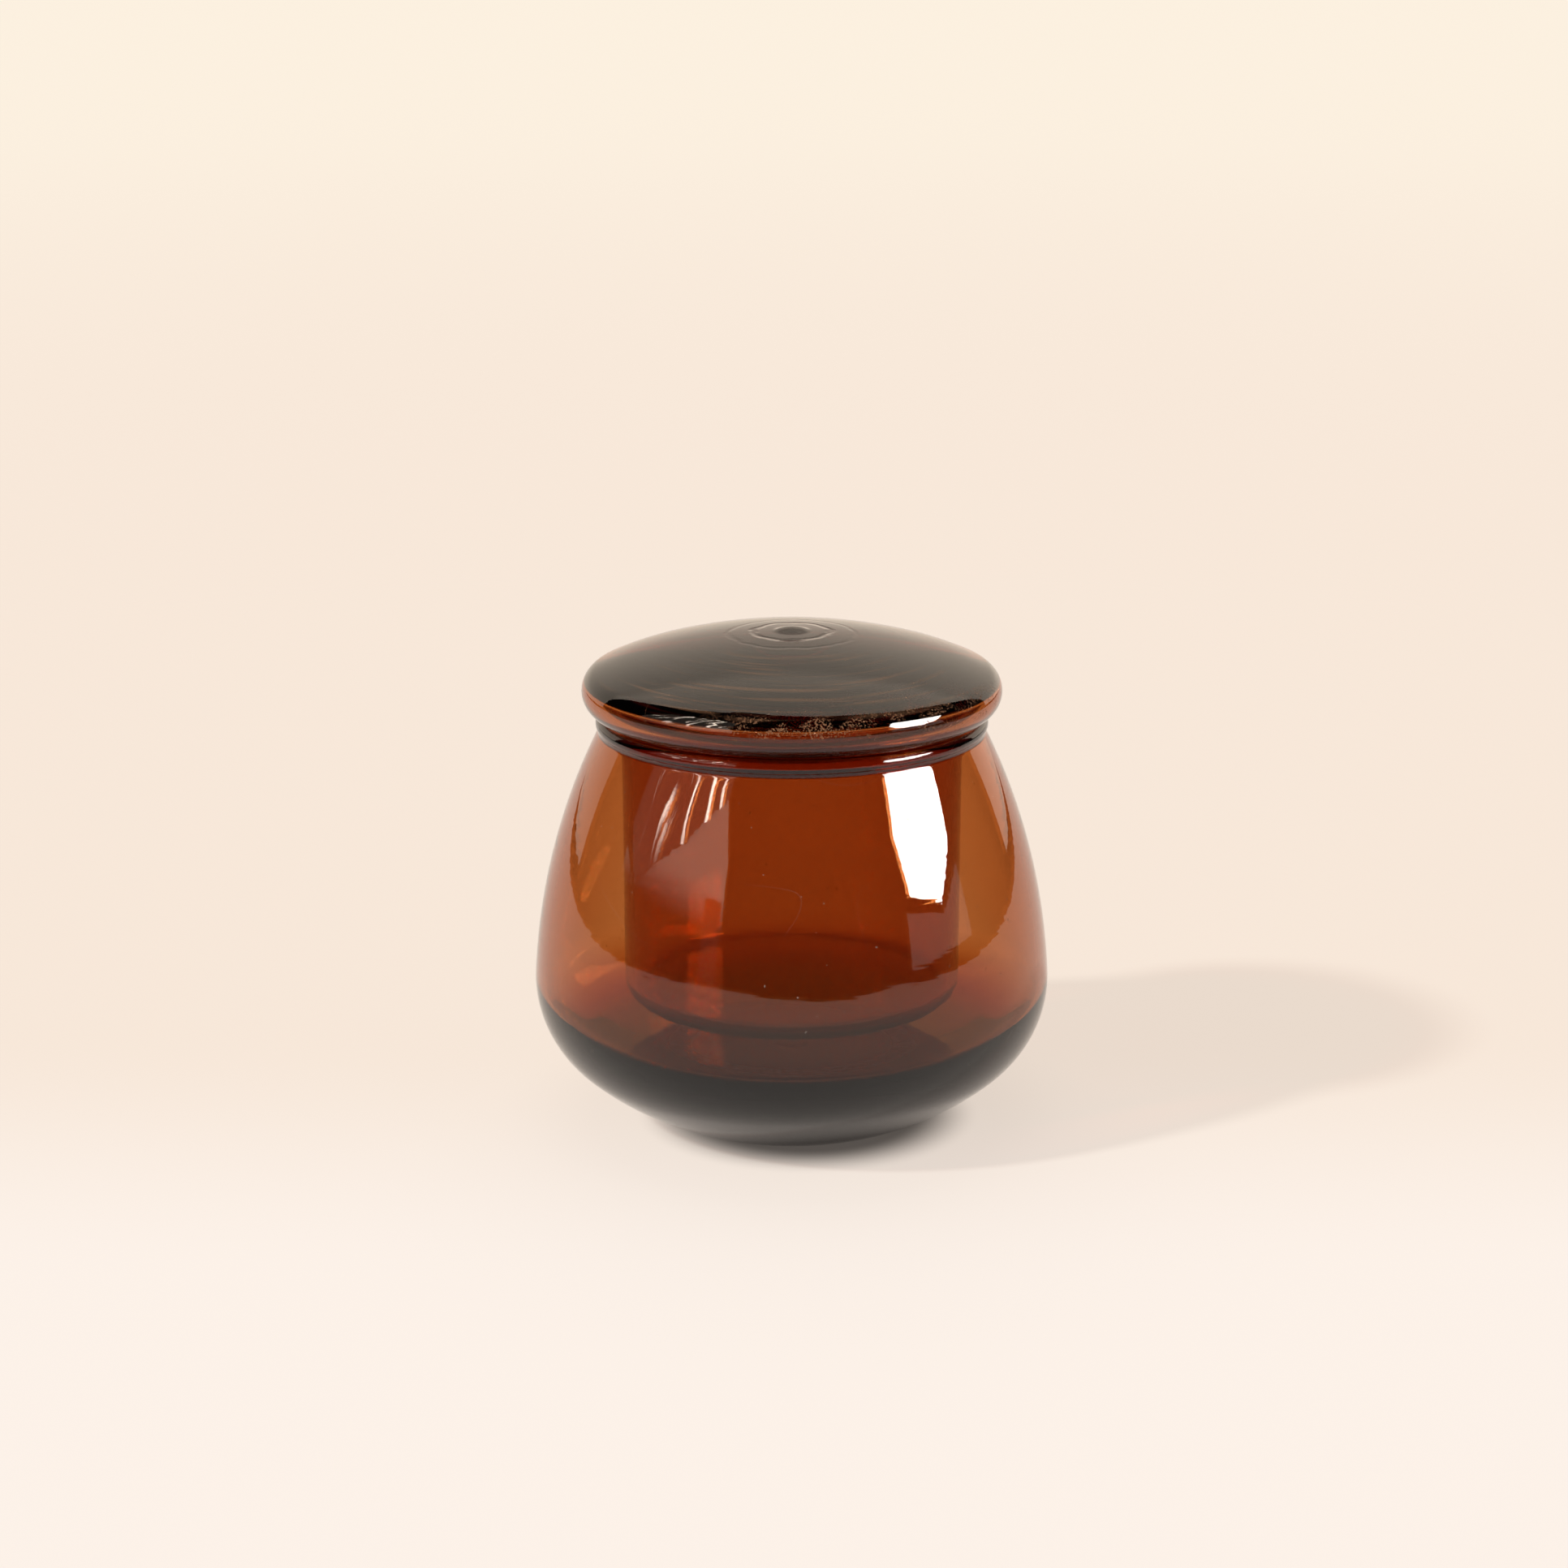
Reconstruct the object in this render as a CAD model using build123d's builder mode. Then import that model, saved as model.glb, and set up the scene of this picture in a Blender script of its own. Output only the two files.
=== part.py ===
"""Double-walled blown glass jar with a lift-off lid.

The jar is an outer shell and a straight inner cup, melted together at the lip, with a sealed air
space between them and a heavy base below it. The lid is a solid dome on a thin pan, melted together
round the rim, with a pocket of air between them.
Every piece is a solid of revolution about Z, and its profile is drawn in the XZ plane as (radius,
height). The origin is the middle of the foot's underside. Lengths are in millimetres and angles
in degrees.
"""
from build123d import *
import math
import os

os.makedirs("parts", exist_ok=True)

# Outer shell: three arcs that run smoothly into each other, from the lip to the foot
BELLY_R = 50.0  # widest radius of the jar
BELLY_Z = 27.0  # height of the widest place
BELLY_ARC_R = 22.2
FLANK_ARC_R = 122.0  # the side that leans in towards the lip
FLANK_START = 3.3  # where the flank takes over from the belly, above the horizontal
UNDER_ARC_R = 56.0  # the underside that runs down to the foot
UNDER_START = -48.7  # where the underside takes over from the belly
SHELL_WALL = 2.0
BASE_TOP_Z = 16.5  # floor of the air space, on a heavy base
BASE_CORNER_R = 10.4  # round between that floor and the belly's wall
KICK_R = 19.0  # the base is pushed up inside this radius, so only a ring stands on the table
KICK_H = 2.2
FOOT_FILLET = 1.5
KICK_FILLET = 1.0

# Lip: a rolled bead outside, melted to the cup inside
LIP_Z = 79.4  # top of the jar
LIP_R = 37.7
LIP_BEAD_R = 1.7
LIP_DEPTH = 3.2  # from the top of the lip down to the air space
NECK_FILLET = 1.0  # the hollow line under the bead

# Inner cup
CUP_R = 32.6  # outer radius
CUP_WALL = 1.9
CUP_BOTTOM_Z = 23.1
CUP_FLOOR = 2.1
CUP_CORNER_R = 4.0  # outer round between side and bottom

# Lid: three arcs from the rim over the shoulder to the crown, and a thin pan with a shallow plug
SEAT_GAP = 0.1  # clearance between the lid and the lip
LID_R = 40.3
LID_RIM_R = 4.5
PARTING_Z = 85.0  # the dome's flat underside, just above the rim's widest place
SHOULDER_ARC_R = 59.0
SHOULDER_START = 65.4  # where the shoulder takes over from the rim, above the horizontal
CROWN_START = 74.0  # where the crown takes over from the shoulder
PAN_WALL = 2.0
PLUG_R = 29.6  # 1.1 mm inside the cup's bore all round, so the lid drops in by itself
PLUG_DEPTH = 4.0
PLUG_CORNER_R = 2.6
PLUG_ROOT_R = 1.2  # hollow round between the seat and the plug

# Seals: beads of glass where the blow holes were melted shut
LID_TIP_R = 3.4
LID_TIP_H = 0.7
BASE_TIP_R = 3.0
BASE_TIP_H = 1.0


def on_circle(centre, radius, angle):
    """The point of a circle at an angle above the horizontal."""
    turn = math.radians(angle)
    return (centre[0] + radius * math.cos(turn), centre[1] + radius * math.sin(turn))


def angle_at(centre, radius, z):
    """The angle above the horizontal at which the outer side of a circle passes height z."""
    return math.degrees(math.asin((z - centre[1]) / radius))


def tangent_centre(centre, radius, next_radius, angle):
    """The centre of the next arc, which touches this one from inside or outside at that angle."""
    return on_circle(centre, radius - next_radius, angle)


# Centres of the shell's arcs
BELLY_C = (BELLY_R - BELLY_ARC_R, BELLY_Z)
FLANK_C = tangent_centre(BELLY_C, BELLY_ARC_R, FLANK_ARC_R, FLANK_START)
UNDER_C = tangent_centre(BELLY_C, BELLY_ARC_R, UNDER_ARC_R, UNDER_START)
BEAD_C = (LIP_R - LIP_BEAD_R, LIP_Z - LIP_BEAD_R)
KICK_ARC_R = (KICK_R**2 + KICK_H**2) / (2 * KICK_H)
KICK_C = (0, KICK_H - KICK_ARC_R)

# Centres of the lid's arcs. The crown's radius follows, because its centre is on the axis.
SEAT_Z = LIP_Z + SEAT_GAP
RIM_C = (LID_R - LID_RIM_R, SEAT_Z + LID_RIM_R)
SHOULDER_C = tangent_centre(RIM_C, LID_RIM_R, SHOULDER_ARC_R, SHOULDER_START)
CROWN_ARC_R = SHOULDER_ARC_R + SHOULDER_C[0] / math.cos(math.radians(CROWN_START))
CROWN_C = tangent_centre(SHOULDER_C, SHOULDER_ARC_R, CROWN_ARC_R, CROWN_START)


def side_arcs(inset, low, high_z):
    """The shell's side, moved inwards by inset: the belly from the angle low, then the flank up to
    high_z. Returns its two ends."""
    belly_r = BELLY_ARC_R - inset
    flank_r = FLANK_ARC_R - inset
    high = angle_at(FLANK_C, flank_r, high_z)
    CenterArc(BELLY_C, belly_r, low, FLANK_START - low)
    CenterArc(FLANK_C, flank_r, FLANK_START, high - FLANK_START)
    return on_circle(BELLY_C, belly_r, low), on_circle(FLANK_C, flank_r, high)


def pan_outline(inset):
    """The lid's lower side, from the parting level in to the axis, moved inwards by inset."""
    seat_z = SEAT_Z + inset
    bottom_z = SEAT_Z - PLUG_DEPTH + inset
    side_r = PLUG_R - inset
    corner_r = PLUG_CORNER_R - inset
    root_r = PLUG_ROOT_R + inset
    rim_r = LID_RIM_R - inset
    parting_angle = angle_at(RIM_C, rim_r, PARTING_Z)
    CenterArc(RIM_C, rim_r, parting_angle, -90 - parting_angle)
    Line((RIM_C[0], seat_z), (side_r + root_r, seat_z))
    CenterArc((side_r + root_r, seat_z - root_r), root_r, 90, 90)
    Line((side_r, seat_z - root_r), (side_r, bottom_z + corner_r))
    CenterArc((side_r - corner_r, bottom_z + corner_r), corner_r, 0, -90)
    Line((side_r - corner_r, bottom_z), (0, bottom_z))
    Line((0, bottom_z), (0, PARTING_Z))
    Line((0, PARTING_Z), on_circle(RIM_C, rim_r, parting_angle))


def seal_profile(centre, radius, tip_r, tip_z):
    """A bead that sits on a round wall: the wall's arc out to tip_r, and back over the tip."""
    side = math.copysign(1, tip_z - centre[1] - radius)
    edge = (tip_r, centre[1] + math.sqrt(radius**2 - tip_r**2))
    bulge = ((tip_z - edge[1]) ** 2 + tip_r**2) / (2 * abs(tip_z - edge[1]))
    RadiusArc((0, centre[1] + radius), edge, radius)
    RadiusArc(edge, (0, tip_z), -side * bulge)
    Line((0, tip_z), (0, centre[1] + radius))


# Outer shell: outside, less the air space and the room for the cup, with the lip's bead added
with BuildPart() as outer_shell:
    with BuildSketch(Plane.XZ) as profile:
        with BuildLine():
            foot_angle = angle_at(UNDER_C, UNDER_ARC_R, 0)
            foot = on_circle(UNDER_C, UNDER_ARC_R, foot_angle)
            CenterArc(UNDER_C, UNDER_ARC_R, foot_angle, UNDER_START - foot_angle)
            neck = side_arcs(0, UNDER_START, BEAD_C[1])[1]
            Line(neck, (0, BEAD_C[1]))
            Line((0, BEAD_C[1]), (0, KICK_H))
            RadiusArc((0, KICK_H), (KICK_R, 0), KICK_ARC_R)
            Line((KICK_R, 0), foot)
        make_face()
        with BuildLine():
            floor_angle = angle_at(BELLY_C, BELLY_ARC_R - SHELL_WALL, BASE_TOP_Z)
            floor, roof = side_arcs(SHELL_WALL, floor_angle, LIP_Z - LIP_DEPTH)
            Polyline(roof, (CUP_R, roof[1]), (CUP_R, LIP_Z), (0, LIP_Z), (0, BASE_TOP_Z), floor)
        make_face(mode=Mode.SUBTRACT)
        with BuildLine():
            Polyline(BEAD_C, (CUP_R, BEAD_C[1]), (CUP_R, LIP_Z), (BEAD_C[0], LIP_Z), BEAD_C)
        make_face()
        with Locations(BEAD_C):
            Circle(LIP_BEAD_R)
        under_bead = (BEAD_C[0] + LIP_BEAD_R, BEAD_C[1] - LIP_BEAD_R)
        rounds = (
            (under_bead, NECK_FILLET),
            (floor, BASE_CORNER_R),
            (foot, FOOT_FILLET),
            ((KICK_R, 0), KICK_FILLET),
        )
        for corner, radius in rounds:
            fillet(profile.vertices().sort_by_distance(corner)[0], radius)
    revolve(axis=Axis.Z)
outer_shell.part.label = "outer_shell"
export_step(outer_shell.part, "parts/outer_shell.step")

# Inner cup: its top rounds over from the bore to meet the lip
with BuildPart() as inner_cup:
    bore_r = CUP_R - CUP_WALL
    inner_corner_r = CUP_CORNER_R - CUP_WALL
    cup_floor_z = CUP_BOTTOM_Z + CUP_FLOOR
    with BuildSketch(Plane.XZ):
        with BuildLine():
            Line((0, CUP_BOTTOM_Z), (CUP_R - CUP_CORNER_R, CUP_BOTTOM_Z))
            CenterArc((CUP_R - CUP_CORNER_R, CUP_BOTTOM_Z + CUP_CORNER_R), CUP_CORNER_R, -90, 90)
            Line((CUP_R, CUP_BOTTOM_Z + CUP_CORNER_R), (CUP_R, LIP_Z))
            CenterArc((CUP_R, LIP_Z - CUP_WALL), CUP_WALL, 90, 90)
            Line((bore_r, LIP_Z - CUP_WALL), (bore_r, cup_floor_z + inner_corner_r))
            CenterArc((bore_r - inner_corner_r, cup_floor_z + inner_corner_r), inner_corner_r, 0, -90)
            Line((bore_r - inner_corner_r, cup_floor_z), (0, cup_floor_z))
            Line((0, cup_floor_z), (0, CUP_BOTTOM_Z))
        make_face()
    revolve(axis=Axis.Z)
inner_cup.part.label = "inner_cup"
export_step(inner_cup.part, "parts/inner_cup.step")

# Base seal: it hangs in the kick, clear of the table
with BuildPart() as base_seal_tip:
    with BuildSketch(Plane.XZ):
        with BuildLine():
            seal_profile(KICK_C, KICK_ARC_R, BASE_TIP_R, KICK_H - BASE_TIP_H)
        make_face()
    revolve(axis=Axis.Z)
base_seal_tip.part.label = "base_seal_tip"
export_step(base_seal_tip.part, "parts/base_seal_tip.step")

# Lid dome: the part of the lid above the parting level, solid glass with a flat underside
with BuildPart() as lid_dome:
    with BuildSketch(Plane.XZ):
        with BuildLine():
            parting_angle = angle_at(RIM_C, LID_RIM_R, PARTING_Z)
            CenterArc(RIM_C, LID_RIM_R, parting_angle, SHOULDER_START - parting_angle)
            CenterArc(SHOULDER_C, SHOULDER_ARC_R, SHOULDER_START, CROWN_START - SHOULDER_START)
            CenterArc(CROWN_C, CROWN_ARC_R, CROWN_START, 90 - CROWN_START)
            Line((0, CROWN_C[1] + CROWN_ARC_R), (0, PARTING_Z))
            Line((0, PARTING_Z), on_circle(RIM_C, LID_RIM_R, parting_angle))
        make_face()
    revolve(axis=Axis.Z)
lid_dome.part.label = "lid_dome"
export_step(lid_dome.part, "parts/lid_dome.step")

# Lid pan: the part below it, with the seat that rests on the lip and the plug inside the mouth
with BuildPart() as lid_pan:
    with BuildSketch(Plane.XZ):
        for inset, mode in ((0, Mode.ADD), (PAN_WALL, Mode.SUBTRACT)):
            with BuildLine():
                pan_outline(inset)
            make_face(mode=mode)
    revolve(axis=Axis.Z)
lid_pan.part.label = "lid_pan"
export_step(lid_pan.part, "parts/lid_pan.step")

# Lid seal: the small bead in the middle of the crown
with BuildPart() as lid_seal_tip:
    with BuildSketch(Plane.XZ):
        with BuildLine():
            seal_profile(CROWN_C, CROWN_ARC_R, LID_TIP_R, CROWN_C[1] + CROWN_ARC_R + LID_TIP_H)
        make_face()
    revolve(axis=Axis.Z)
lid_seal_tip.part.label = "lid_seal_tip"
export_step(lid_seal_tip.part, "parts/lid_seal_tip.step")

print(f"bore radius {bore_r:.1f}, cup floor at {cup_floor_z:.1f}")
print(f"lid underside at {SEAT_Z - PLUG_DEPTH:.1f}, crown at {CROWN_C[1] + CROWN_ARC_R:.2f}")
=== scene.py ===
# %% [markdown]
# # An amber glass jar with a thick domed lid
#
# The jar is two walls of blown glass, an outer shell on a heavy base and a straight inner cup,
# melted together at the lip with air sealed between them. The lid is a solid dome on a thin pan. The
# CAD model gives every size, and this script gives the jar its glass, and a small studio for the
# glass to mirror. Everything is in metres.

# %% Load the CAD model
import math

import bpy
import numpy as np
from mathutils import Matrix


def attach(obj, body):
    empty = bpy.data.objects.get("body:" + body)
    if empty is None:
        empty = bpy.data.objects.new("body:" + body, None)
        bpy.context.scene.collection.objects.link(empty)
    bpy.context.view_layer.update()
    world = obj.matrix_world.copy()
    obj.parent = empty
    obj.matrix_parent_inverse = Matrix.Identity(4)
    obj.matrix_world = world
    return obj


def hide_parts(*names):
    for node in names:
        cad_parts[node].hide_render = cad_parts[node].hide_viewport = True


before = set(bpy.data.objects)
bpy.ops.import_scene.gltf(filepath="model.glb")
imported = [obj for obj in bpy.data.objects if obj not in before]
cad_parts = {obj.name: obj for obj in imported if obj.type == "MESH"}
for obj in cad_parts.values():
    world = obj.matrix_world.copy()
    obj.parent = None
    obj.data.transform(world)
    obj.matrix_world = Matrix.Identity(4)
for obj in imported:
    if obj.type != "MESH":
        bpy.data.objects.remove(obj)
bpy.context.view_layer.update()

MM = 0.001
print("CAD nodes:", ", ".join(sorted(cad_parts)))

# %% [markdown]
# ## Outlines
#
# A blown and turned jar is a surface of revolution: one outline, carried round the axis. An outline
# here is an array of (radius, height) points in millimetres, made of arcs and straight lines. It
# could be drawn by hand as a Bezier curve and turned with a Screw modifier, but arcs with real
# centres and radii keep it equal to the CAD, and hot glass has no sharp corners, so each corner is
# softened by a given reach.


# %% Arcs, and how two of them meet
def on_circle(centre, radius, angle):
    """A point of a circle: centre + radius * (cos, sin) of an angle in degrees."""
    turn = math.radians(angle)
    return (centre[0] + radius * math.cos(turn), centre[1] + radius * math.sin(turn))


def arc(centre, radius, start, end, count=90):
    """Points of a circle from one angle to another, in degrees above the horizontal."""
    turn = np.radians(np.linspace(start, end, count))
    return np.array(centre) + radius * np.column_stack((np.cos(turn), np.sin(turn)))


def line(*points):
    """A straight line, or several, through the given points."""
    return np.array(points, float)


def height_angle(centre, radius, z):
    """The angle at which the outer side of a circle passes height z: asin((z - centre) / radius)."""
    return math.degrees(math.asin((z - centre[1]) / radius))


def crossing(centre_a, radius_a, centre_b, radius_b):
    """The point furthest from the axis where two circles cross.

    With d the distance between the centres, it lies a = (d² + ra² - rb²) / 2d along the line
    between them and √(ra² - a²) to its side.
    """
    a, b = np.array(centre_a), np.array(centre_b)
    distance = np.linalg.norm(b - a)
    along = (distance**2 + radius_a**2 - radius_b**2) / (2 * distance)
    direction = (b - a) / distance
    side = np.array((direction[1], -direction[0])) * math.sqrt(radius_a**2 - along**2)
    return max((a + along * direction + side, a + along * direction - side), key=lambda p: p[0])


def angle_of(point, centre):
    """The angle of a point as seen from a centre, in degrees above the horizontal."""
    return math.degrees(math.atan2(point[1] - centre[1], point[0] - centre[0]))


# %% Soft corners, and points where the outline bends
def path_length(outline):
    """How far along the outline each of its points lies."""
    steps = np.linalg.norm(np.diff(outline, axis=0), axis=1)
    return np.concatenate(([0.0], np.cumsum(steps)))


def at_length(outline, lengths):
    """The points at those lengths along the outline, by linear interpolation."""
    along = path_length(outline)
    return np.column_stack([np.interp(lengths, along, outline[:, k]) for k in (0, 1)])


def soften(outline, corner, reach, count=24):
    """The outline with one corner rounded.

    Both arms are cut at the given reach from the corner c, at a and b, and joined by the curve
    (1 - t)² a + 2 t (1 - t) c + t² b.
    """
    along = path_length(outline)
    middle = along[np.linalg.norm(outline - np.array(corner), axis=1).argmin()]
    a, b = at_length(outline, [middle - reach, middle + reach])
    t = np.linspace(0, 1, count)[:, None]
    bend = (1 - t) ** 2 * a + 2 * t * (1 - t) * np.array(corner) + t**2 * b
    return np.concatenate((outline[along < middle - reach], bend, outline[along > middle + reach]))


LONGEST_STEP = 3.0  # mm between points where the outline is straight
LARGEST_TURN = 4.0  # degrees between points where it bends
FINE_STEP = 0.05  # mm, the spacing at which the bends are measured
BLUR = 1.2  # mm over which the spacing changes from one to the other


def spaced(outline):
    """The outline with its points closer together where it bends.

    Along the path the number of points per mm is 1 / LONGEST_STEP + (turn per mm) / LARGEST_TURN,
    averaged over BLUR, and points are set where its running total passes whole numbers. Half of the
    first term is added again after averaging, because the average fades at the two ends.
    """
    total = path_length(outline)[-1]
    lengths = np.linspace(0, total, int(total / FINE_STEP))
    fine = at_length(outline, lengths)
    heading = np.unwrap(np.arctan2(*np.diff(fine, axis=0).T[::-1]))
    turn = np.degrees(np.abs(np.diff(heading, prepend=heading[0], append=heading[-1])))
    density = lengths[1] / LONGEST_STEP + turn / LARGEST_TURN
    window = np.ones(int(BLUR / FINE_STEP))
    density = np.convolve(density, window / len(window), mode="same") + lengths[1] / (2 * LONGEST_STEP)
    running = np.cumsum(density)
    stops = np.linspace(running[0], running[-1], int(running[-1]))
    return at_length(outline, np.interp(stops, running, lengths))


# %% [markdown]
# ## Turning an outline into a mesh
#
# The Screw modifier would do this, but numpy gives the exact number of faces and closed ends. The
# surface is a grid: one direction follows the outline and the other goes round the axis. Where the
# outline starts and ends on the axis, the ring shrinks to one point, and a fan of triangles closes
# it. An outline is walked with the air on its right, so that every face looks out of the glass.

# %% Carry outlines round the axis
ROUND = 176  # points round the axis


def turned_surface(outline):
    """Vertices and faces of an outline turned about the axis.

    Point (i, j) is (r_i cos a_j, r_i sin a_j, z_i), with a_j = 2 pi j / ROUND. The first and last
    points of the outline are on the axis and become single vertices.
    """
    a = np.linspace(0, 2 * np.pi, ROUND, endpoint=False)
    r, z = outline[1:-1].T * MM
    rings = np.stack(np.broadcast_arrays(np.outer(r, np.cos(a)), np.outer(r, np.sin(a)), z[:, None]), -1)
    poles = np.array([(0, 0, outline[0, 1] * MM), (0, 0, outline[-1, 1] * MM)])
    vertices = np.concatenate((rings.reshape(-1, 3), poles))
    here = np.arange(len(r) * ROUND).reshape(len(r), ROUND)
    following = np.roll(here, -1, axis=1)
    quads = np.stack((here[:-1], following[:-1], following[1:], here[1:]), -1).reshape(-1, 4)
    first, last = len(vertices) - 2, len(vertices) - 1
    start_fan = np.column_stack((np.full(ROUND, first), following[0], here[0]))
    end_fan = np.column_stack((np.full(ROUND, last), here[-1], following[-1]))
    return vertices, quads.tolist() + start_fan.tolist() + end_fan.tolist()


def turned_piece(name, outlines):
    """One object from several outlines, each turned about the axis into a closed skin."""
    vertices, faces = [], []
    for outline in outlines:
        skin, skin_faces = turned_surface(spaced(outline))
        offset = sum(len(v) for v in vertices)
        faces += [[k + offset for k in face] for face in skin_faces]
        vertices.append(skin)
    mesh = bpy.data.meshes.new(name)
    mesh.from_pydata(np.concatenate(vertices), [], faces)
    mesh.shade_smooth()
    piece = bpy.data.objects.new(name, mesh)
    bpy.context.scene.collection.objects.link(piece)
    mesh.calc_loop_triangles()
    print(f"{name}: {len(mesh.vertices)} vertices, {len(mesh.loop_triangles)} triangles")
    return piece


# %% [markdown]
# ## The jar
#
# The outer shell leans in from a low, wide belly to a rolled lip. The inner cup hangs from that
# lip, and the two are melted into one skin of glass, so they are made here as one piece with two
# surfaces: the outside, which runs from the foot over the lip and down into the cup, and the sealed
# air space between the walls. Two separate solids that touch would show a mirror-like seam where
# light leaves one and enters the other, which fused glass doesn't have.

# %% Sizes of the jar, in millimetres
BELLY_ARC_C, BELLY_ARC_R = (27.8, 27.0), 22.2
FLANK_ARC_R, FLANK_START = 122.0, 3.3
UNDER_ARC_R, UNDER_START = 56.0, -48.7
SHELL_WALL = 2.0
AIR_FLOOR_Z, AIR_ROOF_Z, AIR_CORNER_R = 16.5, 76.2, 10.4
KICK_R, KICK_H = 19.0, 2.2
SEAL_R, SEAL_H = 3.0, 1.0
LIP_Z, LIP_BEAD_C, LIP_BEAD_R = 79.4, (36.0, 77.7), 1.7
CUP_R, CUP_WALL = 32.6, 1.9
CUP_BOTTOM_Z, CUP_FLOOR_Z, CUP_CORNER_R = 23.1, 25.2, 4.0

FLANK_ARC_C = on_circle(BELLY_ARC_C, BELLY_ARC_R - FLANK_ARC_R, FLANK_START)
UNDER_ARC_C = on_circle(BELLY_ARC_C, BELLY_ARC_R - UNDER_ARC_R, UNDER_START)
KICK_ARC_R = (KICK_R**2 + KICK_H**2) / (2 * KICK_H)
KICK_ARC_C = (0.0, KICK_H - KICK_ARC_R)


# %% The jar's two outlines
def shell_side(inset, low, high):
    """The shell's side from one angle on the belly to one on the flank, moved in by inset."""
    return np.concatenate(
        (
            arc(BELLY_ARC_C, BELLY_ARC_R - inset, low, FLANK_START),
            arc(FLANK_ARC_C, FLANK_ARC_R - inset, FLANK_START, high),
        )
    )


def bead(edge_z, tip_z, radius):
    """A round bead on the axis, from its tip to its edge: the arc through both.

    Its radius is (h² + r²) / 2h, with h the height of the edge over the tip.
    """
    rise = edge_z - tip_z
    sweep_r = (rise**2 + radius**2) / (2 * abs(rise))
    centre = (0.0, tip_z + math.copysign(sweep_r, rise))
    start = -90.0 if rise > 0 else 90.0
    return arc(centre, sweep_r, start, angle_of((radius, edge_z), centre))


def jar_outside():
    """From the seal under the base, round the foot and the belly, over the lip and into the cup."""
    edge = (SEAL_R, KICK_ARC_C[1] + math.sqrt(KICK_ARC_R**2 - SEAL_R**2))
    kick = arc(KICK_ARC_C, KICK_ARC_R, angle_of(edge, KICK_ARC_C), angle_of((KICK_R, 0), KICK_ARC_C))
    neck = crossing(FLANK_ARC_C, FLANK_ARC_R, LIP_BEAD_C, LIP_BEAD_R)
    foot_angle = height_angle(UNDER_ARC_C, UNDER_ARC_R, 0)
    foot = on_circle(UNDER_ARC_C, UNDER_ARC_R, foot_angle)
    bore_r = CUP_R - CUP_WALL
    corner_r = CUP_CORNER_R - CUP_WALL
    outline = np.concatenate(
        (
            bead(edge[1], KICK_H - SEAL_H, SEAL_R),
            kick,
            arc(UNDER_ARC_C, UNDER_ARC_R, foot_angle, UNDER_START),
            shell_side(0, UNDER_START, angle_of(neck, FLANK_ARC_C)),
            arc(LIP_BEAD_C, LIP_BEAD_R, angle_of(neck, LIP_BEAD_C), 90),
            arc((CUP_R, LIP_Z - CUP_WALL), CUP_WALL, 90, 180),
            arc((bore_r - corner_r, CUP_FLOOR_Z + corner_r), corner_r, 0, -90),
            line((0, CUP_FLOOR_Z)),
        )
    )
    for corner, reach in ((edge, 0.6), ((KICK_R, 0), 0.8), (foot, 0.8), (neck, 0.8)):
        outline = soften(outline, corner, reach)
    return outline


def jar_air_space():
    """From under the cup, up its side, over the narrow roof, down inside the shell and in again.

    The arc at the foot of the shell's inner side touches both the belly's inner arc and the floor,
    so its centre is as far from the belly's as their radii differ, and its radius above the floor.
    """
    belly_r = BELLY_ARC_R - SHELL_WALL
    corner_z = AIR_FLOOR_Z + AIR_CORNER_R
    reach = math.sqrt((belly_r - AIR_CORNER_R) ** 2 - (corner_z - BELLY_ARC_C[1]) ** 2)
    corner_c = (BELLY_ARC_C[0] + reach, corner_z)
    touch = angle_of(corner_c, BELLY_ARC_C)
    roof_angle = height_angle(FLANK_ARC_C, FLANK_ARC_R - SHELL_WALL, AIR_ROOF_Z)
    side = shell_side(SHELL_WALL, touch, roof_angle)[::-1]
    outline = np.concatenate(
        (
            line((0, CUP_BOTTOM_Z)),
            arc((CUP_R - CUP_CORNER_R, CUP_BOTTOM_Z + CUP_CORNER_R), CUP_CORNER_R, -90, 0),
            line((CUP_R, AIR_ROOF_Z)),
            side,
            arc(corner_c, AIR_CORNER_R, touch, -90),
            line((0, AIR_FLOOR_Z)),
        )
    )
    for corner, cut in (((CUP_R, AIR_ROOF_Z), 1.0), (side[0], 1.1)):
        outline = soften(outline, corner, cut)
    return outline


jar_glass = turned_piece("jar_glass", (jar_outside(), jar_air_space()))
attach(jar_glass, "jar")
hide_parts("outer_shell", "inner_cup", "base_seal_tip")

# %% [markdown]
# ## The lid
#
# The lid is a pebble of glass: a solid low dome melted on a thin flat pan, whose shallow plug drops
# into the jar's mouth. The full round rim is thin where it is widest, below the dome, because a
# pocket of air lies between dome and pan. In the middle of the dome a small bead is left where the
# glass was cut off and melted smooth. Like the jar it is one skin of glass round a pocket of air.

# %% Sizes of the lid, in millimetres
PAN_WALL = 2.0
SEAT_Z, POCKET_ROOF_Z = 79.5, 85.0
RIM_C, RIM_R = (35.8, 84.0), 4.5
SHOULDER_R, SHOULDER_START, CROWN_START = 59.0, 65.4, 74.0
PLUG_R, PLUG_DEPTH, PLUG_CORNER_R, PLUG_ROOT_R = 29.6, 4.0, 2.6, 1.2
TIP_R, TIP_H = 3.4, 0.7

SHOULDER_C = on_circle(RIM_C, RIM_R - SHOULDER_R, SHOULDER_START)
CROWN_R = SHOULDER_R + SHOULDER_C[0] / math.cos(math.radians(CROWN_START))
CROWN_C = on_circle(SHOULDER_C, SHOULDER_R - CROWN_R, CROWN_START)


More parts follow.
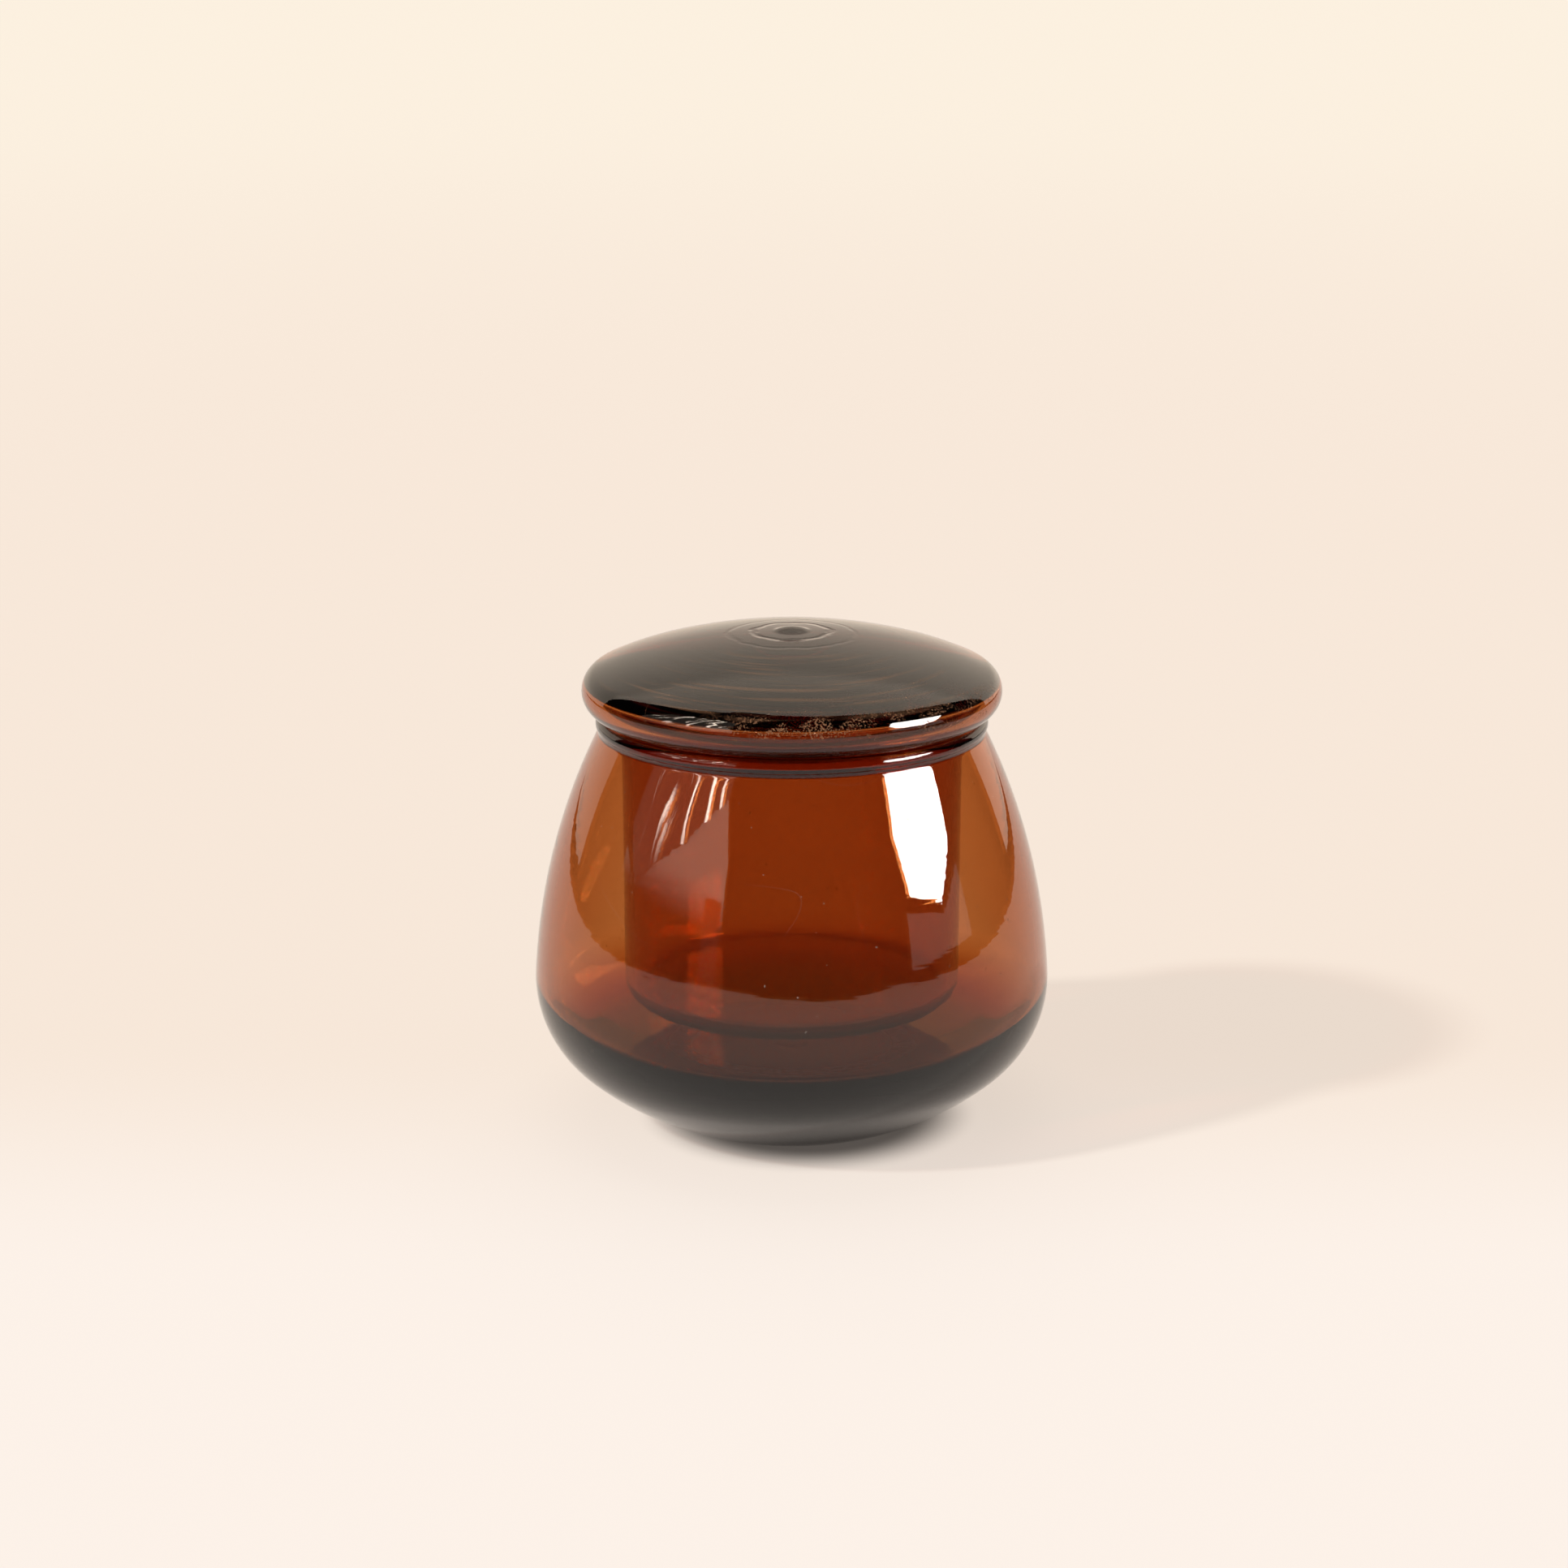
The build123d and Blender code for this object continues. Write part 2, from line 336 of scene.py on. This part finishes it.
# %% The lid's two outlines
def pan(inset):
    """The underside from the axis out to the rim's lowest point, moved in by inset."""
    seat_z = SEAT_Z + inset
    bottom_z = SEAT_Z - PLUG_DEPTH + inset
    side_r = PLUG_R - inset
    corner_r = PLUG_CORNER_R - inset
    root_r = PLUG_ROOT_R + inset
    return np.concatenate(
        (
            line((0, bottom_z)),
            arc((side_r - corner_r, bottom_z + corner_r), corner_r, -90, 0),
            arc((side_r + root_r, seat_z - root_r), root_r, 180, 90),
        )
    )


def lid_outside():
    """From under the plug, round the rim and over the dome to the bead on its top."""
    edge = (TIP_R, CROWN_C[1] + math.sqrt(CROWN_R**2 - TIP_R**2))
    tip_z = CROWN_C[1] + CROWN_R + TIP_H
    outline = np.concatenate(
        (
            pan(0),
            arc(RIM_C, RIM_R, -90, SHOULDER_START),
            arc(SHOULDER_C, SHOULDER_R, SHOULDER_START, CROWN_START),
            arc(CROWN_C, CROWN_R, CROWN_START, angle_of(edge, CROWN_C)),
            bead(edge[1], tip_z, TIP_R)[::-1],
        )
    )
    return soften(outline, edge, 0.7)


def lid_air_pocket():
    """Under the dome's flat underside, round inside the rim and back over the pan."""
    inner_r = RIM_R - PAN_WALL
    top = height_angle(RIM_C, inner_r, POCKET_ROOF_Z)
    corner = on_circle(RIM_C, inner_r, top)
    outline = np.concatenate((pan(PAN_WALL), arc(RIM_C, inner_r, -90, top), line((0, POCKET_ROOF_Z))))
    return soften(outline[::-1], corner, 0.5)


lid_glass = turned_piece("lid_glass", (lid_outside(), lid_air_pocket()))
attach(lid_glass, "lid")
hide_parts("lid_dome", "lid_pan", "lid_seal_tip")

# %% [markdown]
# ## Writing shader formulas
#
# A material is a graph of nodes. Wiring many Math nodes by hand is slow to read, so a small class
# holds a socket and lets Python's operators add the Math nodes. Numbers alone stay in Python.


# %% A socket that can be used in formulas
class Wire:
    """A socket of a node tree. + - * on wires and numbers add the Math nodes that do it."""

    def __init__(self, tree, socket=None):
        self.tree = tree
        self.socket = socket

    def node(self, kind, settings=None, inputs=None, output=0):
        """Adds any node: its type, its settings, and the values or wires of its sockets."""
        made = self.tree.nodes.new(kind)
        for key, value in (settings or {}).items():
            setattr(made, key, value)
        for key, value in (inputs or {}).items():
            if isinstance(value, Wire):
                self.tree.links.new(value.socket, made.inputs[key])
            else:
                made.inputs[key].default_value = value
        return Wire(self.tree, made.outputs[output] if len(made.outputs) else None)

    def math(self, operation, *values):
        """A Math node on wires or numbers."""
        return self.node("ShaderNodeMath", {"operation": operation}, dict(enumerate(values)))

    def __add__(self, other):
        return self.math("ADD", self, other)

    def __sub__(self, other):
        return self.math("SUBTRACT", self, other)

    def __rsub__(self, other):
        return self.math("SUBTRACT", other, self)

    def __mul__(self, other):
        return self.math("MULTIPLY", self, other)

    __radd__ = __add__
    __rmul__ = __mul__


# %% Starting and finishing a material
def new_material(name):
    """An empty node material and a wire to start its tree from."""
    material = bpy.data.materials.new(name)
    material.use_nodes = True
    material.node_tree.nodes.clear()
    return material, Wire(material.node_tree)


def finish_material(start, surface, volume=None):
    """Puts a shader on the material's output, and for glass what fills it."""
    sockets = {"Surface": surface}
    if volume:
        sockets["Volume"] = volume
    start.node("ShaderNodeOutputMaterial", inputs=sockets)


def mix_shaders(share, first, second):
    """One shader turning into another as share goes from 0 to 1."""
    return share.node("ShaderNodeMixShader", inputs={0: share, 1: first, 2: second})


def mix_colours(share, first, second):
    """One colour turning into another as share goes from 0 to 1.

    A Mix node has the same sockets once for each data type: 6 and 7 are its two colours, and
    output 2 is the mixed colour.
    """
    sockets = {0: share, 6: first, 7: second}
    return share.node("ShaderNodeMix", {"data_type": "RGBA"}, sockets, output=2)


# %% Places and patterns
def place(start):
    """The x, y and z of a point of the piece, in metres."""
    where = start.node("ShaderNodeTexCoord", output="Object")
    return [start.node("ShaderNodeSeparateXYZ", inputs={"Vector": where}, output=k) for k in range(3)]


def distance_from_axis(x, y):
    """How far a point is from the jar's axis: the square root of x² + y²."""
    return x.math("SQRT", x * x + y * y)


def ramp(value, low, high):
    """0 below low, 1 above high and a soft S-curve between them."""
    return value.node(
        "ShaderNodeMapRange",
        {"interpolation_type": "SMOOTHSTEP"},
        {"Value": value, "From Min": low, "From Max": high},
    )


def noise(at, lumps, detail=2.0):
    """Smooth noise from 0 to 1, with the given number of lumps per metre along x, y and z."""
    x, y, z = (along * count for along, count in zip(at, lumps))
    vector = x.node("ShaderNodeCombineXYZ", inputs={"X": x, "Y": y, "Z": z})
    return x.node("ShaderNodeTexNoise", inputs={"Vector": vector, "Scale": 1.0, "Detail": detail})


# %% [markdown]
# ## Amber glass
#
# The colour is in the glass, not on it, so it is made by a volume: light loses more of its blue than
# its red with every millimetre it travels inside. A 2 mm wall stays a clear orange, and the dome and
# the base, which are five to seven times as thick, go black by themselves. A tinted surface would
# give every part the same colour. The floor would be black under plain glass, because light from
# lamps isn't followed through bent surfaces, so for those rays the skin is see-through and only the
# volume tints them. The glass never touched a mould: faint level ripples and slow swellings bend what
# it mirrors, and rings lie round the lid's bead. All are shallower than a fifth of a millimetre, too
# fine for the mesh, so they are bump. Dust and hairline scratches are dull spots mixed over the glass.

# %% The glass
WALL_PASSES = (0.72, 0.43, 0.23)  # the red, green and blue that 2 mm of glass lets through
ABSORBS = [-math.log(c) / (SHELL_WALL * MM) for c in WALL_PASSES]
DENSITY = max(ABSORBS)
ABSORPTION_COLOUR = tuple(1 - a / DENSITY for a in ABSORBS) + (1.0,)
SKIN_PASSES = (0.96, 0.96, 0.96, 1.0)  # what lamp light keeps at each surface
WHITE = (1.0, 1.0, 1.0, 1.0)
GLASS_IOR = 1.5
DULL_ROUGHNESS = 0.9
JAR_DUST_COLOUR = (0.5, 0.42, 0.35, 1.0)
LID_DUST_COLOUR = (0.42, 0.2, 0.1, 1.0)


def clear_glass(start, relief):
    """Colourless glass, its surface bent by a relief in metres."""
    bump = start.node("ShaderNodeBump", inputs={"Distance": 1.0, "Height": relief})
    sockets = {
        "Base Color": WHITE,
        "Roughness": 0.0,
        "IOR": GLASS_IOR,
        "Transmission Weight": 1.0,
        "Normal": bump,
    }
    return start.node("ShaderNodeBsdfPrincipled", inputs=sockets)


def amber_glass(name, relief, dust, dust_colour):
    """Tinted glass whose relief in metres and dust from 0 to 1 come from functions of x, y, z."""
    material, start = new_material(name)
    x, y, z = place(start)
    glass = clear_glass(start, relief(x, y, z))
    dull_sockets = {"Base Color": dust_colour, "Roughness": DULL_ROUGHNESS}
    dull = start.node("ShaderNodeBsdfPrincipled", inputs=dull_sockets)
    dusty = mix_shaders(dust(x, y, z), glass, dull)
    shadow_ray = start.node("ShaderNodeLightPath", output="Is Shadow Ray")
    soft_ray = start.node("ShaderNodeLightPath", output="Is Diffuse Ray")
    lamp_ray = start.math("MAXIMUM", shadow_ray, soft_ray)
    clear = start.node("ShaderNodeBsdfTransparent", inputs={"Color": SKIN_PASSES})
    absorbing = {"Color": ABSORPTION_COLOUR, "Density": DENSITY}
    inside = start.node("ShaderNodeVolumeAbsorption", inputs=absorbing)
    finish_material(start, mix_shaders(lamp_ray, dusty, clear), inside)
    return material


# %% Ripples on the jar and rings on the lid
JAR_RIPPLE, JAR_SWELLING = 14e-6, 60e-6  # depths in metres
LID_RING, LID_SWELLING = 22e-6, 40e-6
SWELLING_LUMPS = (34, 34, 30)
BEAD_RINGS = ((0.0084, 0.0011, 170e-6), (0.0132, 0.0009, 45e-6))  # radius, half width and depth
RING_WOBBLE = 0.0022  # how far the rings stray from round, in metres


def level_ripples(x, y, z):
    """Long level ripples 2 mm apart, over slow swellings 30 mm wide."""
    ripple = noise((x, y, z), (70, 70, 520))
    swelling = noise((x, y, z), SWELLING_LUMPS, detail=0.0)
    return ripple * JAR_RIPPLE + swelling * JAR_SWELLING


def ring_marks(x, y, z):
    """Rings round the axis, left by turning the lid in its tool, and two round the bead."""
    from_axis = distance_from_axis(x, y)
    ring = noise((x, y, from_axis), (60, 60, 700))
    swelling = noise((x, y, z), SWELLING_LUMPS, detail=0.0)
    height = ring * LID_RING + swelling * LID_SWELLING
    wobbly = from_axis + noise((x, y, z), (250, 250, 250)) * RING_WOBBLE
    for radius, half_width, depth in BEAD_RINGS:
        groove = ramp(x.math("ABSOLUTE", wobbly - radius), 0.0, half_width)
        height = height + groove * depth
    return height


# %% Dust, scratches and specks
DUST_COVERS, SCRATCH_COVERS, SPECKS_COVER, ARCS_COVER = 0.4, 0.12, 0.6, 0.14
HAIRLINE = 0.0022  # how near its middle value the noise has to be


def scratches(x, y, z):
    """Hairlines: where a broad noise passes its middle value, kept only in patches."""
    broad = noise((x, y, z), (60, 60, 60), detail=0.0)
    off_middle = broad.math("ABSOLUTE", broad - 0.5)
    patch = noise((x + 0.04, y, z), (75, 75, 75), detail=0.0)
    return (1 - ramp(off_middle, 0.0, HAIRLINE)) * ramp(patch, 0.52, 0.62)


def jar_dust(x, y, z):
    """Specks a quarter of a millimetre wide at the peaks of a fine noise, and a few hairlines."""
    speck = noise((x, y, z), (1500, 1500, 1500), detail=0.0)
    return ramp(speck, 0.85, 0.9) * DUST_COVERS + scratches(x, y, z) * SCRATCH_COVERS


def rim_specks(x, y, z):
    """Clusters of fine specks along the front right of the lid's rim: rough glass, with the window's
    light on it painted by keeping them to that side.
    """
    speck = noise((x, y, z), (2600, 2600, 2600))
    cluster = noise((x, y, z), (260, 260, 500))
    rim = ramp(z, 0.0825, 0.084) * (1 - ramp(z, 0.0868, 0.0885))
    # Painted light: the specks show only on the front right, where the window's light falls on the rim.
    painted_window_light = ramp(x * 0.55 - y, 0.024, 0.04)
    return ramp(speck, 0.5, 0.6) * painted_window_light * rim * ramp(cluster, 0.46, 0.56)


def tool_arcs(x, y, z):
    """Dull arcs round the axis on the front of the dome."""
    arcs = noise((x, y, distance_from_axis(x, y)), (45, 45, 900), detail=1.0)
    return ramp(arcs, 0.52, 0.68) * ramp(0 - y, 0.008, 0.022)


def lid_dust(x, y, z):
    """As on the jar, with specks on the rim and dull arcs left by the tool."""
    marks = rim_specks(x, y, z) * SPECKS_COVER + tool_arcs(x, y, z) * ARCS_COVER
    return jar_dust(x, y, z) + marks


jar_material = amber_glass("amber_jar_glass", level_ripples, jar_dust, JAR_DUST_COLOUR)
lid_material = amber_glass("amber_lid_glass", ring_marks, lid_dust, LID_DUST_COLOUR)
jar_glass.data.materials.append(jar_material)
lid_glass.data.materials.append(lid_material)
print("absorbs per mm", [round(a * MM, 3) for a in ABSORBS])

# %% [markdown]
# ## The studio
#
# Glass shows its surroundings more than itself, so the studio is half of its look. The jar stands
# on a pale table before a pale paper backdrop. What the glass mirrors is darker: a tall window on
# the right, a crinkled diffuser on the left, the paper behind, the table, and else an unlit room.
# The camera, and light that only passes through glass, sees a plain pale surround on every side, so
# the jar can be looked at from anywhere. Light that has been mirrored at least once sees the unlit
# room: Light Path's Glossy Depth tells the two apart.

# %% Stage pieces
RAY_KINDS = ("camera", "glossy", "transmission", "diffuse", "shadow")


def stage_piece(name, vertices, faces, material, seen_by=("camera", "glossy", "transmission")):
    """A piece of the studio, seen only by the given kinds of ray."""
    mesh = bpy.data.meshes.new(name)
    mesh.from_pydata(vertices, [], faces)
    mesh.materials.append(material)
    piece = bpy.data.objects.new(name, mesh)
    bpy.context.scene.collection.objects.link(piece)
    for ray in RAY_KINDS:
        setattr(piece, "visible_" + ray, ray in seen_by)
    material.cycles.emission_sampling = "NONE"


def mirrored(start):
    """1 for light that has been mirrored at least once, else 0."""
    depth = start.node("ShaderNodeLightPath", output="Glossy Depth")
    return start.math("GREATER_THAN", depth, 0.5)


def glow(start, colour, strength=1.0):
    """An Emission shader."""
    return start.node("ShaderNodeEmission", inputs={"Color": colour, "Strength": strength})


# %% The colour of table and surround, with light and shade painted into it
# One pale surface: the changes between these three tones are painted light and shade.
PALE_FRONT = (0.98, 0.885, 0.81, 1.0)
PALE_MIDDLE = (0.935, 0.805, 0.695, 1.0)
PALE_FAR = (0.975, 0.875, 0.745, 1.0)
UNLIT = (0.012, 0.01, 0.009, 1.0)


def pale(start):
    """The colour of table and surround, with painted light and shade: palest before the jar, warmest
    round it, paler far off.
    """
    x, y, z = place(start)
    from_jar = distance_from_axis(x, y)
    near = mix_colours(ramp(y, -0.09, 0.04), PALE_FRONT, PALE_MIDDLE)
    around = mix_colours(ramp(from_jar, 0.25, 0.6), near, PALE_MIDDLE)
    return mix_colours(ramp(from_jar, 0.5, 2.6), around, PALE_FAR)


# %% The table and the surround
TABLE_CORNERS = ((-0.56, -0.8, 0), (0.51, -0.53, 0), (0.53, 0.95, 0), (-0.58, 0.95, 0))
TABLE_GLOW = 0.78  # painted light: the part of the table's light that it gives off itself, in place of light through it from below
TABLE_ALBEDO = 0.9
SHADE_X, SHADE_Y = 0.003, -0.006  # the middle of the painted shadow under the jar
SHADE_LEFT = 0.12  # the part of the glow that is left in the painted shadow
SURROUND_R, SURROUND_BEND_R = 2.0, 1.7
FLOOR_DROP = 0.0004  # how far the surround's floor lies under the table


def table_material():
    """A pale table partly glowing, painted light in place of light from below, with a painted shadow
    under the jar, and glowing evenly further out.
    """
    material, start = new_material("pale_table")
    x, y, z = place(start)
    from_jar = distance_from_axis(x, y)
    from_shade = distance_from_axis(x - SHADE_X, y - SHADE_Y)
    # Painted shadow: the glow is dimmed round a point under the front of the jar.
    lit = ramp(from_shade, 0.021, 0.034) * (1 - SHADE_LEFT) + SHADE_LEFT
    own_light = ramp(from_jar, 0.34, 0.5) * (1 - TABLE_GLOW) + TABLE_GLOW
    colour = pale(start)
    dimmed = {0: colour, "Scale": TABLE_ALBEDO}
    matt_colour = start.node("ShaderNodeVectorMath", {"operation": "SCALE"}, dimmed)
    matt = start.node("ShaderNodeBsdfDiffuse", inputs={"Color": matt_colour})
    finish_material(start, mix_shaders(own_light, matt, glow(start, colour, lit)))
    return material


def surround_material():
    """Pale for the camera, unlit for mirrored light."""
    material, start = new_material("pale_surround")
    lit_room = glow(start, pale(start))
    finish_material(start, mix_shaders(mirrored(start), lit_room, glow(start, UNLIT)))
    return material


stage_piece("table_top", TABLE_CORNERS, [(0, 1, 2, 3)], table_material())

bowl_side = arc((SURROUND_R, SURROUND_BEND_R), SURROUND_BEND_R, -90, 90)
bowl = np.concatenate((line((0, 0)), bowl_side, line((0, 2 * SURROUND_BEND_R))))
bowl_vertices, bowl_faces = turned_surface(bowl / MM)
bowl_vertices[:, 2] -= FLOOR_DROP
stage_piece("surround", bowl_vertices, bowl_faces, surround_material())
print("surround:", len(bowl_faces), "faces, from", -FLOOR_DROP, "to", 2 * SURROUND_BEND_R, "m")

# %% [markdown]
# ## Light on the table
#
# The shadow is faint, so most of the table's light is its own: a painted glow, with a painted shadow
# under the jar. The rest comes from a crisp key lamp on the left for the long warm shadow, a broad
# lamp behind for the soft dark under the front of the belly, and an even fill from all sides. The four
# shares add up to one.

# %% Lamps, by their share of the table's light
LAMPS = (  # name, bearing, elevation and width in degrees, and share
    ("key_lamp", -115.0, 38.0, 4.5, 0.12),
    ("back_lamp", -5.0, 62.0, 50.0, 0.05),
)
FILL_SHARE = 1 - TABLE_GLOW - sum(lamp[-1] for lamp in LAMPS)


def light_level(share):
    """How bright a light has to be on the table's matt part to give that share of all its light."""
    return share / (1 - TABLE_GLOW) / TABLE_ALBEDO


def sun_lamp(name, bearing, elevation, width, share):
    """A lamp at infinity: energy E at elevation e lights a matt table to E sin(e) / pi."""
    lamp = bpy.data.objects.new(name, bpy.data.lights.new(name, "SUN"))
    lamp.data.angle = math.radians(width)
    lamp.data.energy = light_level(share) * math.pi / math.sin(math.radians(elevation))
    lamp.rotation_euler = (math.radians(90 - elevation), 0, math.radians(180 - bearing))
    lamp.visible_glossy = lamp.visible_transmission = False
    bpy.context.scene.collection.objects.link(lamp)


for lamp in LAMPS:
    sun_lamp(*lamp)

world = bpy.data.worlds.new("soft_fill")
bpy.context.scene.world = world
world.use_nodes = True
fill = world.node_tree.nodes["Background"]
fill.inputs["Color"].default_value = WHITE
fill.inputs["Strength"].default_value = light_level(FILL_SHARE)
world.cycles_visibility.camera = False
world.cycles_visibility.glossy = False
world.cycles_visibility.transmission = False
print(f"shares: table {TABLE_GLOW}, lamps {[lamp[-1] for lamp in LAMPS]}, fill {FILL_SHARE:.2f}")

# %% [markdown]
# ## What the glass mirrors
#
# Every highlight mirrors something in the room, so each is a flat glowing panel, seen only
# by mirrored light, and its corners are given as bearing and elevation from the jar. The paper is
# given by its corners in metres, because it has to meet the table.


# %% Glowing sheets
def glowing_sheet(name, points, colour, brightness):
    """A sheet that glows for mirrored light only, as bright as a function of x, y, z says."""
    material, start = new_material(name)
    light = glow(start, colour + (1.0,), brightness(*place(start)))
    clear = start.node("ShaderNodeBsdfTransparent")
    finish_material(start, mix_shaders(mirrored(start), clear, light))
    stage_piece(name, points, [tuple(range(len(points)))], material, ("glossy", "transmission"))


def toward(bearing, elevation, distance=1.0):
    """A point seen from the jar at a compass bearing, 0 behind it and 90 on its right."""
    b, e = math.radians(bearing), math.radians(elevation)
    return distance * np.array((math.cos(e) * math.sin(b), math.cos(e) * math.cos(b), math.sin(e)))


def panel(name, distance, colour, brightness, corners):
    """A glowing sheet square to its middle direction, its corners as bearing and elevation.

    A corner's direction d is stretched by distance / (d . f) to reach the plane that faces along f.
    """
    directions = np.array([toward(bearing, elevation) for bearing, elevation in corners])
    facing = directions.mean(axis=0)
    facing /= np.linalg.norm(facing)
    points = directions * (distance / (directions @ facing))[:, None]
    glowing_sheet(name, points.tolist(), colour, brightness)


# %% How bright the sheets are
FOLDS_PER_RADIAN, FOLD_SWAY = 15.0, 1 / 6  # the sway is in radians
PANEL_DIM, FOLD_BRIGHT = 0.35, 26.0
SCREEN_DIM, SCREEN_BRIGHT = 0.02, 1.9


def crinkled(x, y, z):
    """Bright upright folds, wavy and brighter towards the top, counted along the bearing."""
    wave = noise((x, y, z), (4.0, 4.0, 4.0), detail=0.0)
    bearing = x.math("ARCTAN2", x, y) + wave * FOLD_SWAY
    fold = noise((bearing, z, 0.0), (FOLDS_PER_RADIAN, 1.4, 0.0))
    return PANEL_DIM + ramp(fold, 0.54, 0.66) * ramp(z, 0.35, 0.75) * FOLD_BRIGHT


def fading_down(x, y, z):
    """Even at the top and dark below."""
    return ramp(z, 0.2, 0.42) * SCREEN_BRIGHT + SCREEN_DIM


def paper_light(x, y, z):
    """Bright at the table, dimmer above it, and bright again high up and on the right."""
    bend = ramp(z, 0.12, 0.3) * 0.15
    daylight = ramp(z, 0.8, 1.0) * 0.4 + ramp(x, -0.2, 0.9) * 0.3
    return 1.0 - bend + daylight


def even(level):
    """The same brightness all over."""
    return lambda x, y, z: level


# %% The panels and the paper
WINDOW = ((89, 24), (95, 15), (107, 8), (123, 12), (126, 23), (121, 34))
SILL = ((92, -3), (126, -3), (126, 10), (107, 6), (94, 11))
DIFFUSER_FOOT = ((-100, 9.5), (-124, 22), (-143, 33))  # the diffuser stands on the screen's top
DIFFUSER = ((-90, 16), *DIFFUSER_FOOT, (-145, 40), (-140, 55), (-118, 60), (-90, 50))
SCREEN = ((-91, -3), (-91, 13), *DIFFUSER_FOOT, (-148, 22), (-148, -3))
STRIP = ((-139, -4), (-147, -4), (-147, 15), (-139, 15))
PANELS = (  # name, distance in metres, colour, brightness and corners
    ("window", 1.5, (1.0, 0.99, 0.97), even(30.0), WINDOW),
    ("window_sill", 1.6, (1.0, 0.88, 0.8), even(0.8), SILL),
    ("key_diffuser", 1.4, (1.0, 0.86, 0.72), crinkled, DIFFUSER),
    ("left_screen", 1.3, (1.0, 0.84, 0.7), fading_down, SCREEN),
    ("left_strip", 1.2, (1.0, 0.85, 0.7), even(0.15), STRIP),
)
PAPER_Y = 0.95
PAPER_COLOUR = (1.0, 0.84, 0.68)
PAPER_CORNERS = (  # x and z in metres
    (-1.58, -0.06),
    (1.31, -0.06),
    (1.31, 2.7),
    (0.7, 3.45),
    (0.05, 3.1),
    (-0.27, 1.94),
    (-0.64, 1.83),
    (-0.95, 1.39),
    (-1.58, 0.49),
)

for row in PANELS:
    panel(*row)
paper = [(x, PAPER_Y, z) for x, z in PAPER_CORNERS]
glowing_sheet("backdrop_paper", paper, PAPER_COLOUR, paper_light)
print("panels:", ", ".join(row[0] for row in PANELS), "and the backdrop paper")

# %% [markdown]
# ## Camera
#
# A long lens, a little above the lid and tilted down, shows the top of the lid, the mouth under it
# and the whole belly with hardly any perspective.

# %% Camera and render limits
CAMERA_DOWN = 15.34  # degrees
CAMERA_DISTANCE = 0.6909
CAMERA_REACH = 20.0
LENS_MM, SENSOR_MM = 82.17, 36.0
AIM = (-0.0015, 0.0, 0.06485)
BOUNCES = {
    "max_bounces": 32,
    "transmission_bounces": 32,
    "glossy_bounces": 16,
    "transparent_max_bounces": 32,
}

camera = bpy.data.objects.new("camera", bpy.data.cameras.new("camera"))
camera.data.lens = LENS_MM
camera.data.sensor_width = SENSOR_MM
camera.data.clip_end = CAMERA_REACH
camera.location = np.array(AIM) + toward(180, CAMERA_DOWN, CAMERA_DISTANCE)
camera.rotation_euler = (math.radians(90 - CAMERA_DOWN), 0, 0)
bpy.context.scene.collection.objects.link(camera)
bpy.context.scene.camera = camera

bpy.context.scene.view_settings.view_transform = "Standard"
cycles = bpy.context.scene.cycles
for limit, count in BOUNCES.items():
    setattr(cycles, limit, count)
cycles.caustics_reflective = False
cycles.caustics_refractive = False
print("camera at", [round(v, 3) for v in camera.location])
